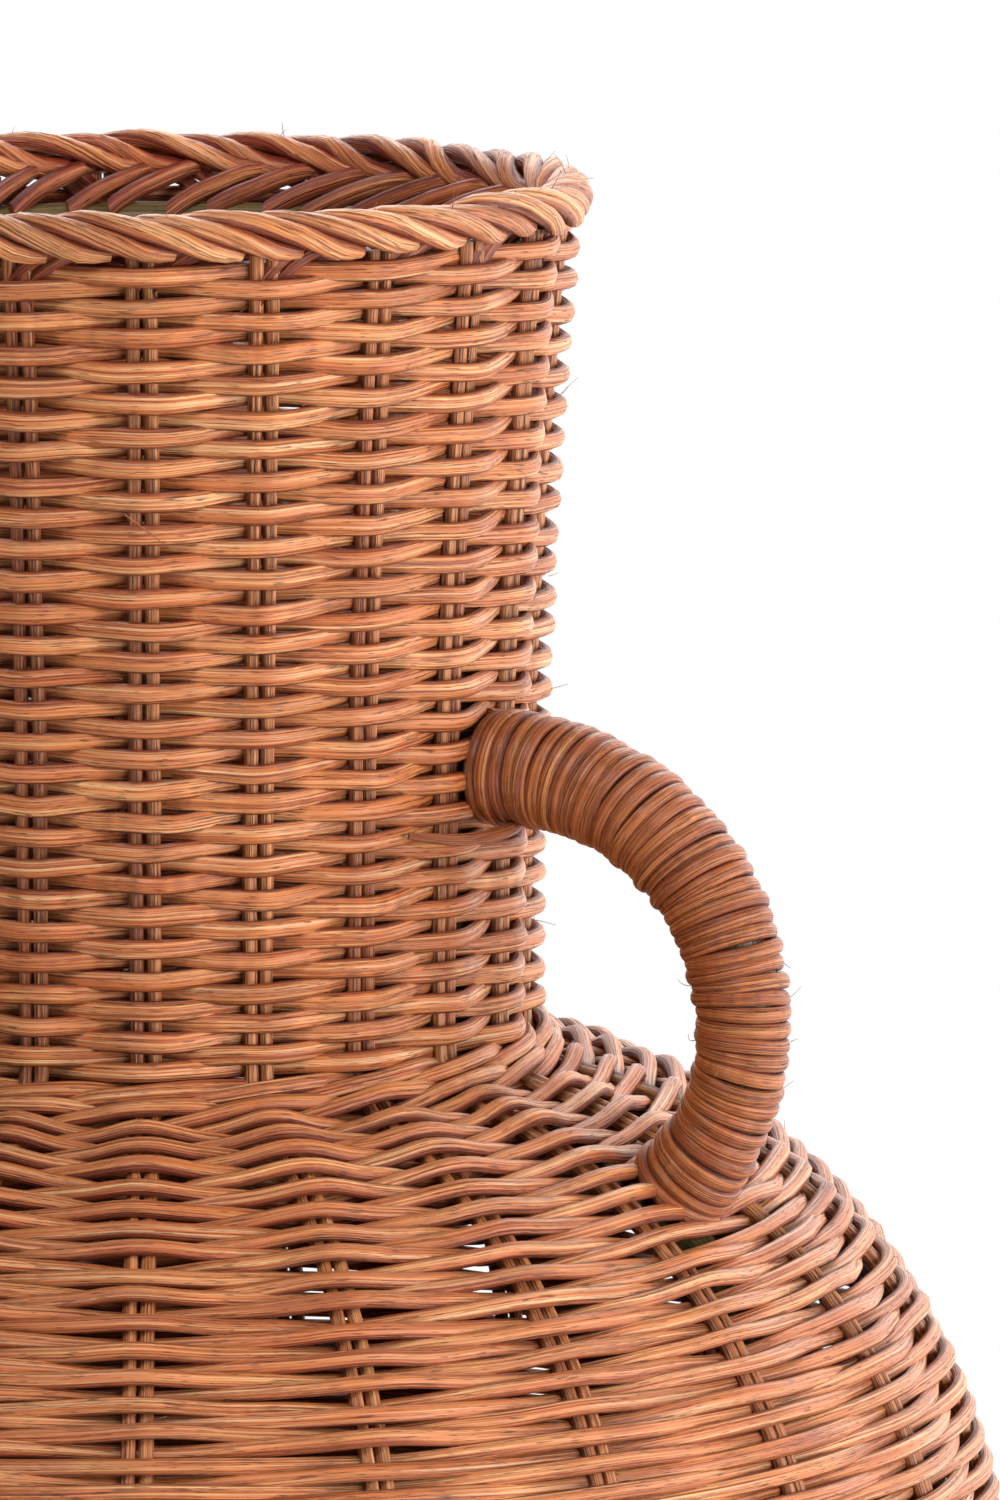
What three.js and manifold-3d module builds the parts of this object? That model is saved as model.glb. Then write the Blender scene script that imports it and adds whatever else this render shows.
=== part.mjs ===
// Rattan vase: a woven round belly and a straight flaring neck on paired stakes,
// closed by a plaited rim, with two wound handles between the neck and the shoulder.
// Millimetres, +Z up, origin at the centre of the foot on the floor, handles along X.
import * as THREE from "three";
import { mergeVertices } from "three/addons/utils/BufferGeometryUtils.js";
import Module from "manifold-3d";

// Overall form, measured on the line that the stakes follow
const vaseHeight = 450;
const bellyRadius = 171.5;
const bellyHeight = 159;
const footRadius = 98;
const shoulderArcRadius = 112;
const neckFilletRadius = 12;
const neckWaistRadius = 75.6;
const neckStraight = 5;
const neckFlareRadius = 1650;

// Canes of the wall
const stakePairs = 21;
const stakeDiameter = 2.6;
const stakePairSpacing = 3.7;
const stakeTailLength = 34;
const stakeTailBend = 5;
const weaverDiameter = 3.3;
const weaveRelief = 2.0;
const reliefRowHeight = 13;

// Base and foot
const baseRadius = 90;
const baseLift = 3.4;
const baseStickDiameter = 3.2;
const baseStickSpacing = 3.8;
const baseStickMargin = 4;
const slathHalfLength = 22;
const slathDropLength = 16;
const footBorderOverhang = 1.2;
const footBorderRounding = 2.5;

// Rim and inner canes
const rimBorderWidth = 10.4;
const rimBorderHeight = 10.2;
const rimBorderOverhang = 1.2;
const rimHoopDiameter = 9.2;
const rimHoopDrop = 2;
const ribDiameter = 9.2;

// Handles
const handleTopHeight = 335;
const handleLead = 5;
const handleFootShare = 0.726;
const handleBulge = 12.4;
const handleCourseMargin = 27;
const handleCoreDiameter = 12.6;
const handlePegDiameter = 7;
const windingStrandDiameter = 3;
const windingLoops = 24;

// Gap kept between canes that touch
const clearance = 0.4;

// Facets
const roundSegments = 2 * stakePairs;
const lowerSteps = 4;
const shoulderSteps = 5;
const filletSteps = 2;
const caneSides = 8;
const stickSides = 6;
const windingSteps = 12;
const windingSides = 5;
const bendSteps = 3;
const handleArcSteps = 14;
const weldDistance = 1e-4;

const wasm = await Module();
wasm.setup();
const vase = new THREE.Group();

// Materials, one for each piece
function rattan(color, roughness) {
  return new THREE.MeshStandardMaterial({ color, roughness, metalness: 0 });
}
const stainedWeave = () => rattan("#b06a43", 0.6);
const stainedStake = () => rattan("#a45f3c", 0.62);
const stainedWinding = () => rattan("#a8613c", 0.58);
const naturalCane = () => rattan("#8f7d4c", 0.5);

function place(parent, name, geometry, material) {
  const mesh = new THREE.Mesh(geometry, material);
  mesh.name = name;
  parent.add(mesh);
  return mesh;
}

// A closed body through rings of points, with a fan of triangles over each end
function loft(rings) {
  const sides = rings[0].length;
  const positions = rings.flat().flatMap((point) => [point.x, point.y, point.z]);
  const index = [];
  for (let i = 0; i + 1 < rings.length; i += 1) {
    for (let j = 0; j < sides; j += 1) {
      const a = i * sides + j;
      const b = i * sides + ((j + 1) % sides);
      index.push(a, b, a + sides, b, b + sides, a + sides);
    }
  }
  const last = (rings.length - 1) * sides;
  for (let j = 1; j + 1 < sides; j += 1) {
    index.push(0, j + 1, j, last, last + j, last + j + 1);
  }
  const geometry = new THREE.BufferGeometry();
  geometry.setAttribute("position", new THREE.Float32BufferAttribute(positions, 3));
  geometry.setIndex(index);
  return facingOut(geometry);
}

// Turns the triangles round when the body they enclose has a negative volume
function facingOut(geometry) {
  const p = geometry.getAttribute("position");
  const index = Array.from(geometry.getIndex().array);
  const corner = (k) => new THREE.Vector3().fromBufferAttribute(p, index[k]);
  let volume = 0;
  for (let k = 0; k < index.length; k += 3) {
    volume += corner(k).dot(corner(k + 1).cross(corner(k + 2)));
  }
  if (volume < 0) {
    index.reverse();
    geometry.setIndex(index);
  }
  geometry.computeVertexNormals();
  return geometry;
}

// A round or flattened cane along a path of frames { at, across, up }
function caneAlong(frames, section) {
  return loft(
    frames.map(({ at, across, up }) =>
      section.map(([x, y]) => at.clone().addScaledVector(across, x).addScaledVector(up, y)),
    ),
  );
}

function roundSection(diameter, sides) {
  return Array.from({ length: sides }, (_, i) => {
    const turn = (2 * Math.PI * i) / sides;
    return [(diameter / 2) * Math.cos(turn), (diameter / 2) * Math.sin(turn)];
  });
}

// A ring or dish turned about Z from [radius, height] points, its corners lined up with the stakes
function turned(profile) {
  const points = profile.map(([r, z]) => new THREE.Vector2(r, z));
  const geometry = new THREE.LatheGeometry(points, roundSegments, Math.PI / 2);
  geometry.rotateX(Math.PI / 2);
  geometry.deleteAttribute("normal");
  geometry.deleteAttribute("uv");
  return welded(geometry);
}

// Joins the points that coincide and leaves out the triangles that this closes up
function welded(geometry) {
  const merged = mergeVertices(geometry, weldDistance);
  const kept = [];
  const index = merged.getIndex().array;
  for (let k = 0; k < index.length; k += 3) {
    const [a, b, c] = index.slice(k, k + 3);
    if (a !== b && b !== c && c !== a) kept.push(a, b, c);
  }
  merged.setIndex(kept);
  return facingOut(merged);
}

function turnedRing(profile) {
  return turned([...profile, profile[0]]);
}

// Joins and cuts
function solidOf(geometry) {
  const bare = geometry.clone();
  bare.deleteAttribute("normal");
  const merged = mergeVertices(bare, weldDistance);
  return new wasm.Manifold(
    new wasm.Mesh({
      numProp: 3,
      vertProperties: merged.getAttribute("position").array,
      triVerts: new Uint32Array(merged.getIndex().array),
    }),
  );
}

function geometryOf(solid) {
  const mesh = solid.getMesh();
  const geometry = new THREE.BufferGeometry();
  geometry.setAttribute("position", new THREE.Float32BufferAttribute(mesh.vertProperties, 3));
  geometry.setIndex(Array.from(mesh.triVerts));
  geometry.computeVertexNormals();
  return geometry;
}

// Levels of the base: the woven disc, the sticks on it, and the stake tails on the sticks
const stakeRadius = stakeDiameter / 2;
const baseTop = baseLift + weaverDiameter;
const stickLevel = baseTop + clearance + baseStickDiameter / 2;
const tailLevel = stickLevel + baseStickDiameter / 2 + clearance + stakeRadius;

// The wall's two faces, as distances outwards from the stake line
const wallInside = stakeRadius + clearance;
const wallOutside = stakeRadius + weaverDiameter;

// The stake line: stations [r, z] with the outward normal, from the foot to the rim
const rimBorderBottom = vaseHeight - rimBorderHeight;
const neckTop = rimBorderBottom - 2 * clearance;
const shoulderCentre = bellyRadius - shoulderArcRadius;
const filletCentre = neckWaistRadius + neckFilletRadius;
const filletReach = shoulderArcRadius + neckFilletRadius;
const shoulderTurn = Math.acos((filletCentre - shoulderCentre) / filletReach);
const stations = stakeLine();

function stakeLine() {
  const line = [];
  const addStation = (r, z, turn) => {
    line.push({ r, z, nr: Math.cos(turn), nz: Math.sin(turn) });
  };
  const addArc = (centre, radius, from, to, steps, outward) => {
    for (let i = line.length === 0 ? 0 : 1; i <= steps; i += 1) {
      const turn = from + ((to - from) * i) / steps;
      const r = centre[0] + radius * Math.cos(turn);
      const z = centre[1] + radius * Math.sin(turn);
      addStation(r, z, outward ? turn : turn - Math.PI);
    }
  };
  const rise = bellyHeight - tailLevel;
  const swell = bellyRadius - footRadius;
  const lowerRadius = (rise * rise + swell * swell) / (2 * swell);
  const footTurn = -Math.asin(rise / lowerRadius);
  addArc([bellyRadius - lowerRadius, bellyHeight], lowerRadius, footTurn, 0, lowerSteps, true);
  addArc([shoulderCentre, bellyHeight], shoulderArcRadius, 0, shoulderTurn, shoulderSteps, true);

  const filletHeight = bellyHeight + filletReach * Math.sin(shoulderTurn);
  const fromTurn = shoulderTurn + Math.PI;
  addArc([filletCentre, filletHeight], neckFilletRadius, fromTurn, Math.PI, filletSteps, false);

  const waistHeight = filletHeight + neckStraight;
  for (const height of [handleTopHeight + handleCourseMargin, neckTop]) {
    const lean = Math.asin((height - waistHeight) / neckFlareRadius);
    const r = neckWaistRadius + neckFlareRadius * (1 - Math.cos(lean));
    addStation(r, height, -lean);
  }
  return line;
}

// A point at a distance outwards from a station
function offsetPoint(station, distance) {
  return [station.r + station.nr * distance, station.z + station.nz * distance];
}

// The stake line's place between two stations, at a height on it
function stationAtHeight(height) {
  const above = stations.findIndex((station) => station.z > height);
  const low = stations[above - 1];
  const high = stations[above];
  return mixStations(low, high, (height - low.z) / (high.z - low.z));
}

function mixStations(from, to, share) {
  const mixed = (key) => from[key] + (to[key] - from[key]) * share;
  return { r: mixed("r"), z: mixed("z"), nr: mixed("nr"), nz: mixed("nz") };
}

// Numbers of the stations where the stretches of the stake line meet
const bellyStation = lowerSteps;
const shoulderTopStation = bellyStation + shoulderSteps;
const filletMiddleStation = shoulderTopStation + filletSteps / 2;
const rimStation = stations.length - 1;
const neckMiddleStation = rimStation - 1;

// Base weave: a flat woven disc inside the foot border
place(
  vase,
  "base_weave",
  turned([
    [0, baseLift],
    [baseRadius, baseLift],
    [baseRadius, baseTop],
    [0, baseTop],
  ]),
  stainedWeave(),
);

// Foot border: the ring that the vase stands on, with a flat underside
const [footOuter, footEdge] = offsetPoint(stations[0], wallOutside);
const footTop = footEdge - clearance;
const footInside = baseRadius + clearance;
const footOutside = footOuter + footBorderOverhang;
place(
  vase,
  "foot_border",
  turnedRing([
    [footInside, footBorderRounding],
    [footInside + footBorderRounding, 0],
    [footOutside - footBorderRounding, 0],
    [footOutside, footBorderRounding],
    [footOutside, footTop - footBorderRounding],
    [footOutside - footBorderRounding, footTop],
    [footInside, footTop],
  ]),
  stainedWeave(),
);

// Base sticks: two crossed layers, fanned out so that one stick end lies under each stake pair
const stakeTurn = (2 * Math.PI) / stakePairs;
const stickEndRadius = baseRadius - baseStickMargin;
const lowerSticks = Math.floor(stakePairs / 4);
const upperSticks = Math.floor((stakePairs - 2 * lowerSticks) / 2);
const halfSticks = stakePairs - 2 * (lowerSticks + upperSticks);
const firstEnd = -Math.floor((lowerSticks + halfSticks) / 2);

// The directions of a group of neighbouring stick ends, counted on round the base
function endTurns(skipped, count) {
  return Array.from({ length: count }, (_, i) => (firstEnd + skipped + i + 0.5) * stakeTurn);
}

function stickPath(points) {
  const up = new THREE.Vector3(0, 0, 1);
  return points.map((at, i) => {
    const before = points[Math.max(i - 1, 0)];
    const after = points[Math.min(i + 1, points.length - 1)];
    const along = after.clone().sub(before).setZ(0).normalize();
    return { at, across: along.clone().cross(up), up };
  });
}

// One stick through the crossing, lying at the side given by offset, from one end to the other.
// A stick of the upper layer comes down to the level of the others just past the crossing.
function stickPoints(layerTurn, offset, lift, startTurn, endTurn) {
  const inLayer = (along) => {
    const point = new THREE.Vector3(along, offset, stickLevel + lift);
    return point.applyAxisAngle(new THREE.Vector3(0, 0, 1), layerTurn);
  };
  const outwards = (from, turn) => {
    const end = new THREE.Vector3(Math.cos(turn), Math.sin(turn), 0).multiplyScalar(stickEndRadius);
    end.z = stickLevel;
    const knee = from.clone().lerp(end, slathDropLength / from.distanceTo(end)).setZ(stickLevel);
    return lift > 0 ? [from, knee, end] : [from, end];
  };
  const ahead = outwards(inLayer(slathHalfLength), endTurn);
  const near = inLayer(-slathHalfLength);
  const behind = startTurn === null ? [near] : outwards(near, startTurn).reverse();
  return [...behind, ...ahead];
}

const stickSection = roundSection(baseStickDiameter, stickSides);
const sideOffset = (i, count) => (i - (count - 1) / 2) * baseStickSpacing;
const lowerAhead = endTurns(0, lowerSticks + halfSticks);
const upperAhead = endTurns(lowerAhead.length, upperSticks);
const lowerBehind = endTurns(lowerAhead.length + upperSticks, lowerSticks).reverse();
const upperBehind = endTurns(lowerAhead.length + upperSticks + lowerSticks, upperSticks).reverse();
const halfStickPlace = Math.floor(lowerAhead.length / 2);
const baseSticks = [];
lowerAhead.forEach((turn, i) => {
  const isHalf = halfSticks === 1 && i === halfStickPlace;
  const behind = halfSticks === 1 && i > halfStickPlace ? i - 1 : i;
  const startTurn = isHalf ? null : lowerBehind[behind];
  baseSticks.push(stickPoints(0, sideOffset(i, lowerAhead.length), 0, startTurn, turn));
});
const upperLift = baseStickDiameter + clearance;
upperAhead.forEach((turn, i) => {
  const offset = sideOffset(i, upperSticks);
  baseSticks.push(stickPoints(Math.PI / 2, offset, upperLift, upperBehind[i], turn));
});
baseSticks.forEach((points, i) => {
  const name = `base_stick_${String(i + 1).padStart(2, "0")}`;
  place(vase, name, caneAlong(stickPath(points), stickSection), stainedStake());
});

// Stake pairs: two canes side by side, from a tail on the base up the inside of the weave to the rim
const pairHalfWidth = stakePairSpacing / 2 + stakeRadius;
const pairShoulder = pairHalfWidth - stakeRadius / 2;
const pairSection = [
  [pairHalfWidth, 0],
  [pairShoulder, stakeRadius],
  [-pairShoulder, stakeRadius],
  [-pairHalfWidth, 0],
  [-pairShoulder, -stakeRadius],
  [pairShoulder, -stakeRadius],
];
const stakeTail = [
  { r: footRadius - stakeTailLength, z: tailLevel, nr: 0, nz: -1 },
  { r: footRadius - stakeTailBend, z: tailLevel, nr: 0, nz: -1 },
];

function framesInPlane(list, distance) {
  return list.map((station) => {
    const [r, z] = offsetPoint(station, distance);
    return {
      at: new THREE.Vector3(r, 0, z),
      across: new THREE.Vector3(0, 1, 0),
      up: new THREE.Vector3(station.nr, 0, station.nz),
    };
  });
}

const stakeGeometry = caneAlong(framesInPlane([...stakeTail, ...stations], 0), pairSection);
for (let k = 0; k < stakePairs; k += 1) {
  const name = `stake_pair_${String(k + 1).padStart(2, "0")}`;
  const mesh = place(vase, name, stakeGeometry.clone(), stainedStake());
  mesh.rotation.z = (k + 0.5) * stakeTurn;
}

// Handle line, in the plane of one handle: straight out of the neck, then a bow down to the shoulder.
// Its foot stands at a share of the way up the shoulder's arc, and the bow swells out past the foot.
const handleStart = offsetPoint(stationAtHeight(handleTopHeight), wallOutside)[0];
const bowStart = handleStart + handleLead;
const handleFootTurn = handleFootShare * shoulderTurn;
const shoulderFace = shoulderArcRadius + wallOutside;
const handleFootReach = shoulderCentre + shoulderFace * Math.cos(handleFootTurn) - bowStart;
const handleFootHeight = bellyHeight + shoulderFace * Math.sin(handleFootTurn);
const bowRadius = handleFootReach + handleBulge;
const bowEndTurn = -Math.acos(handleFootReach / bowRadius);
const bowRise = (handleTopHeight - handleFootHeight) / (1 - Math.sin(bowEndTurn));
const bow = new THREE.EllipseCurve(
  bowStart,
  handleTopHeight - bowRise,
  bowRadius,
  bowRise,
  Math.PI / 2,
  bowEndTurn,
  true,
);
const handleLength = handleLead + bow.getLength();

// The frame at a distance along the handle from the face of the neck, also a little past its ends
function handleFrame(distance) {
  const share = THREE.MathUtils.clamp((distance - handleLead) / bow.getLength(), 0, 1);
  const tangent = bow.getTangentAt(share);
  const pastBow = distance - handleLead - share * bow.getLength();
  const point = bow.getPointAt(share).addScaledVector(tangent, pastBow);
  return {
    at: new THREE.Vector3(point.x, 0, point.y),
    across: new THREE.Vector3(0, 1, 0),
    up: new THREE.Vector3(-tangent.y, 0, tangent.x),
  };
}

// A round cane on the handle line, from one distance along it to another
function caneOnHandle(diameter, from, to) {
  const frames = [handleFrame(from)];
  for (let i = 0; i <= handleArcSteps; i += 1) {
    const distance = handleLead + ((handleLength - handleLead) * i) / handleArcSteps;
    frames.push(handleFrame(distance));
  }
  frames.push(handleFrame(to));
  return caneAlong(frames, roundSection(diameter, caneSides));
}

const wallThickness = wallOutside - wallInside;
const intoWall = wallOutside;

// Woven courses of the wall, with a hole for each handle peg
const oppositeTurn = stakeTurn * Math.ceil(stakePairs / 2);
const handleTurns = { right: 0, left: oppositeTurn };
const pegHoleDiameter = handlePegDiameter + 2 * clearance;
const pegHole = caneOnHandle(pegHoleDiameter, -intoWall, handleLength + intoWall);
const pegHoles = Object.values(handleTurns).map((turn) => solidOf(pegHole.clone().rotateZ(turn)));

// The stations of a course, with half a clearance taken off each end
function courseStations(from, to) {
  const list = stations.slice(from, to + 1);
  const trim = (end, next) => {
    const length = Math.hypot(next.r - end.r, next.z - end.z);
    return mixStations(end, next, clearance / 2 / length);
  };
  const ends = list.length - 1;
  return [trim(list[0], list[1]), ...list.slice(1, ends), trim(list[ends], list[ends - 1])];
}

// The place at a share of the way along a list of stations
function stationAlong(list, share) {
  const lengths = list.slice(1).map((next, i) => Math.hypot(next.r - list[i].r, next.z - list[i].z));
  let left = share * lengths.reduce((sum, length) => sum + length);
  let i = 0;
  while (i + 1 < lengths.length && left > lengths[i]) {
    left -= lengths[i];
    i += 1;
  }
  return mixStations(list[i], list[i + 1], left / lengths[i]);
}

// A ring of plain weave. Its outer face swells where the weaver passes in front of a stake pair and sinks
// where it passes behind. The rows climb by one row in each turn, as one long weaver does round an odd
// number of pairs. A row of this relief stands for several rows of the real weave.
function wovenRing(list) {
  const first = list[0];
  const last = list[list.length - 1];
  const height = Math.hypot(last.r - first.r, last.z - first.z);
  const rows = Math.max(1, Math.round(height / reliefRowHeight));
  const inside = list.map((station) => offsetPoint(station, wallInside)).reverse();
  const shareAt = (i, row) => THREE.MathUtils.clamp((row - 1 + i / roundSegments) / rows, 0, 1);
  // 1 in front of a stake pair, -1 behind it, and 0 between the pairs and at both ends of the ring
  const swingAt = (i, row) => {
    const share = shareAt(i, row);
    const atStake = i % 2 === 1 && share > 0 && share < 1;
    return atStake ? Math.cos(Math.PI * (row + (i - 1) / 2)) : 0;
  };
  const columns = [];
  for (let i = 0; i <= roundSegments; i += 1) {
    const outside = [];
    for (let row = 0; row <= rows + 1; row += 1) {
      const distance = wallOutside - (weaveRelief * (1 - swingAt(i, row))) / 2;
      outside.push(offsetPoint(stationAlong(list, shareAt(i, row)), distance));
    }
    const turn = (2 * Math.PI * i) / roundSegments;
    const atTurn = ([r, z]) => [r * Math.cos(turn), r * Math.sin(turn), z];
    columns.push([...outside, ...inside].map(atTurn));
  }
  const around = columns[0].length;
  const index = [];
  for (let i = 0; i < roundSegments; i += 1) {
    for (let j = 0; j < around; j += 1) {
      const a = i * around + j;
      const b = i * around + ((j + 1) % around);
      const c = a + around;
      const d = b + around;
      const inFront = swingAt(i, j + 1) > 0 || swingAt(i + 1, j) > 0;
      index.push(...(inFront ? [a, b, d, a, d, c] : [a, b, c, b, d, c]));
    }
  }
  const geometry = new THREE.BufferGeometry();
  geometry.setAttribute("position", new THREE.Float32BufferAttribute(columns.flat(2), 3));
  geometry.setIndex(index);
  return welded(geometry);
}

const courses = {
  weave_foot_course: [0, lowerSteps / 2],
  weave_belly_course: [lowerSteps / 2, bellyStation],
  weave_upper_belly_course: [bellyStation, bellyStation + 2],
  weave_shoulder_course: [bellyStation + 2, shoulderTopStation - 1],
  weave_neck_foot_course: [shoulderTopStation - 1, filletMiddleStation],
  weave_neck_lower_course: [filletMiddleStation, neckMiddleStation],
  weave_neck_upper_course: [neckMiddleStation, rimStation],
};
for (const [name, [from, to]] of Object.entries(courses)) {
  const whole = solidOf(wovenRing(courseStations(from, to)));
  const pierced = pegHoles.reduce((solid, hole) => solid.subtract(hole), whole);
  place(vase, name, geometryOf(pierced), stainedWeave());
}

// Rim hoop: a thick unstained cane inside the neck, just under the border
const rimHoopRadius = rimHoopDiameter / 2;
const rimHoopLevel = rimBorderBottom - clearance - rimHoopDrop - rimHoopRadius;
const hoopLine = stationAtHeight(rimHoopLevel).r - stakeRadius - clearance - rimHoopRadius;
const hoopProfile = roundSection(rimHoopDiameter, caneSides).map(([x, y]) => [
  hoopLine + x,
  rimHoopLevel + y,
]);
place(vase, "rim_hoop", turnedRing(hoopProfile), naturalCane());

// Rim border: the stake ends plaited down into a thick rounded edge
const rimBorderLine = stations[rimStation].r + rimBorderOverhang;
const rimBorderProfile = roundSection(1, caneSides).map(([x, y]) => [
  rimBorderLine + x * rimBorderWidth,
  vaseHeight - rimBorderHeight / 2 + y * rimBorderHeight,
]);
place(vase, "rim_border", turnedRing(rimBorderProfile), stainedWeave());

// Everything inside the wall's outer face, grown by the clearance, to trim what stands on the wall
const wallFace = stations.map((station) => offsetPoint(station, wallOutside + clearance));
const envelope = solidOf(turned([[0, wallFace[0][1]], ...wallFace, [0, wallFace[rimStation][1]]]));

// Handle core: a thick cane shaped to the wall, with a thinner peg through the weave at each end
const corePart = solidOf(caneOnHandle(handleCoreDiameter, -intoWall, handleLength + intoWall));
const pegPart = solidOf(caneOnHandle(handlePegDiameter, -wallThickness, handleLength + wallThickness));
const coreGeometry = geometryOf(corePart.subtract(envelope).add(pegPart));

// Handle winding: one strand wound round the core from the neck to the shoulder.
// Its two ends turn along the handle and run straight to the wall.
const windingRadius = handleCoreDiameter / 2 + clearance + windingStrandDiameter / 2;
const strandBend = windingStrandDiameter;
const strandLead = clearance + windingStrandDiameter;
const windingFrom = strandLead + strandBend;
const windingPitch = (handleLength - 2 * windingFrom) / windingLoops;

// Points [distance along the handle, turn round it] of the strand
function windingRoute() {
  const bend = [];
  for (let i = 0; i < bendSteps; i += 1) {
    const turn = (Math.PI / 2) * (i / bendSteps);
    const across = (strandBend * (1 - Math.cos(turn))) / windingRadius;
    bend.push([strandLead + strandBend * Math.sin(turn), across]);
  }
  const bendTurn = strandBend / windingRadius;
  const route = [[-intoWall / 2, 0], ...bend];
  const steps = windingLoops * windingSteps;
  const wholeTurn = 2 * Math.PI * windingLoops;
  for (let i = 0; i <= steps; i += 1) {
    const share = i / steps;
    route.push([windingFrom + windingPitch * windingLoops * share, bendTurn + wholeTurn * share]);
  }
  const lastTurn = wholeTurn + 2 * bendTurn;
  const mirrored = [...bend].reverse().map(([along, turn]) => [handleLength - along, lastTurn - turn]);
  return [...route, ...mirrored, [handleLength + intoWall / 2, lastTurn]];
}

const chordGrowth = 1 / Math.cos(Math.PI / windingSteps);
const strandPoints = windingRoute().map(([along, turn]) => {
  const { at, across, up } = handleFrame(along);
  const outward = across.clone().multiplyScalar(Math.sin(turn)).addScaledVector(up, -Math.cos(turn));
  return { at: at.addScaledVector(outward, windingRadius * chordGrowth), outward };
});
const strandFrames = strandPoints.map(({ at, outward }, i) => {
  const before = strandPoints[Math.max(i - 1, 0)].at;
  const after = strandPoints[Math.min(i + 1, strandPoints.length - 1)].at;
  const along = after.clone().sub(before).normalize();
  const across = outward.clone().cross(along).normalize();
  return { at, across, up: along.clone().cross(across) };
});
const strandSection = roundSection(windingStrandDiameter, windingSides);
const strand = solidOf(caneAlong(strandFrames, strandSection)).subtract(envelope);
const windingGeometry = geometryOf(strand);

// The least gap between neighbouring loops of the strand, measured between its points
function leastGap(points) {
  let least = Infinity;
  for (let i = 0; i < points.length; i += 1) {
    for (let j = i + windingSteps / 2; j < points.length; j += 1) {
      least = Math.min(least, points[i].at.distanceTo(points[j].at));
    }
  }
  return least - windingStrandDiameter;
}
console.log(`handle winding: least gap to itself ${leastGap(strandPoints).toFixed(2)} mm`);

// Inner rib: an unstained cane down the inside of the wall, behind the two pegs of a handle
const ribDistance = wallInside - clearance - ribDiameter / 2;
const ribStations = stations.slice(bellyStation + 1, neckMiddleStation + 1);
const ribGeometry = caneAlong(framesInPlane(ribStations, ribDistance), roundSection(ribDiameter, caneSides));

for (const [side, turn] of Object.entries(handleTurns)) {
  const handle = new THREE.Group();
  handle.rotation.z = turn;
  place(handle, `handle_rib_${side}`, ribGeometry.clone(), naturalCane());
  place(handle, `handle_core_${side}`, coreGeometry.clone(), naturalCane());
  place(handle, `handle_winding_${side}`, windingGeometry.clone(), stainedWinding());
  vase.add(handle);
}

export default vase;
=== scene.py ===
"""Rattan vase: the looks of a stake-and-strand basket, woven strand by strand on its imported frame."""

import math
import random

import bpy
from mathutils import Matrix, Vector


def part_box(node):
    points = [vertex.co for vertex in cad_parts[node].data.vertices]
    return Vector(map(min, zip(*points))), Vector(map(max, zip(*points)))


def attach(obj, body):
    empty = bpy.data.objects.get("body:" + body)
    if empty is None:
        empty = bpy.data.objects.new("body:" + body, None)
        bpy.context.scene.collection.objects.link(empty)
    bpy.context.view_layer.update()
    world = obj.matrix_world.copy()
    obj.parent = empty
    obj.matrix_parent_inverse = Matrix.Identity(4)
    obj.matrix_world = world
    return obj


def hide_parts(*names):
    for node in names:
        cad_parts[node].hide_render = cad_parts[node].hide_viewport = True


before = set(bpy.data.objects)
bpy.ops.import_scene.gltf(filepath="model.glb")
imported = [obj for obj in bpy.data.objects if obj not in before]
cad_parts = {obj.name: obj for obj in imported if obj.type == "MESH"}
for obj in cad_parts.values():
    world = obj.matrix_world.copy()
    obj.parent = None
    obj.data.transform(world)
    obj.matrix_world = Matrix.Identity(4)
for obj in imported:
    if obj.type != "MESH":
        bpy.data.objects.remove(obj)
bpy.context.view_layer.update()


# Base sticks
# Eleven stained canes in two crossed layers, fanned out so that an end lies under each pair of stakes.
# They are the first thing a basket maker lays down, and the base is woven round them.

whole_turn = 2 * math.pi
# Noise keeps near the middle of its range, so this stretches it to reach about -1 and 1.
noise_gain = 2.4


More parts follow.
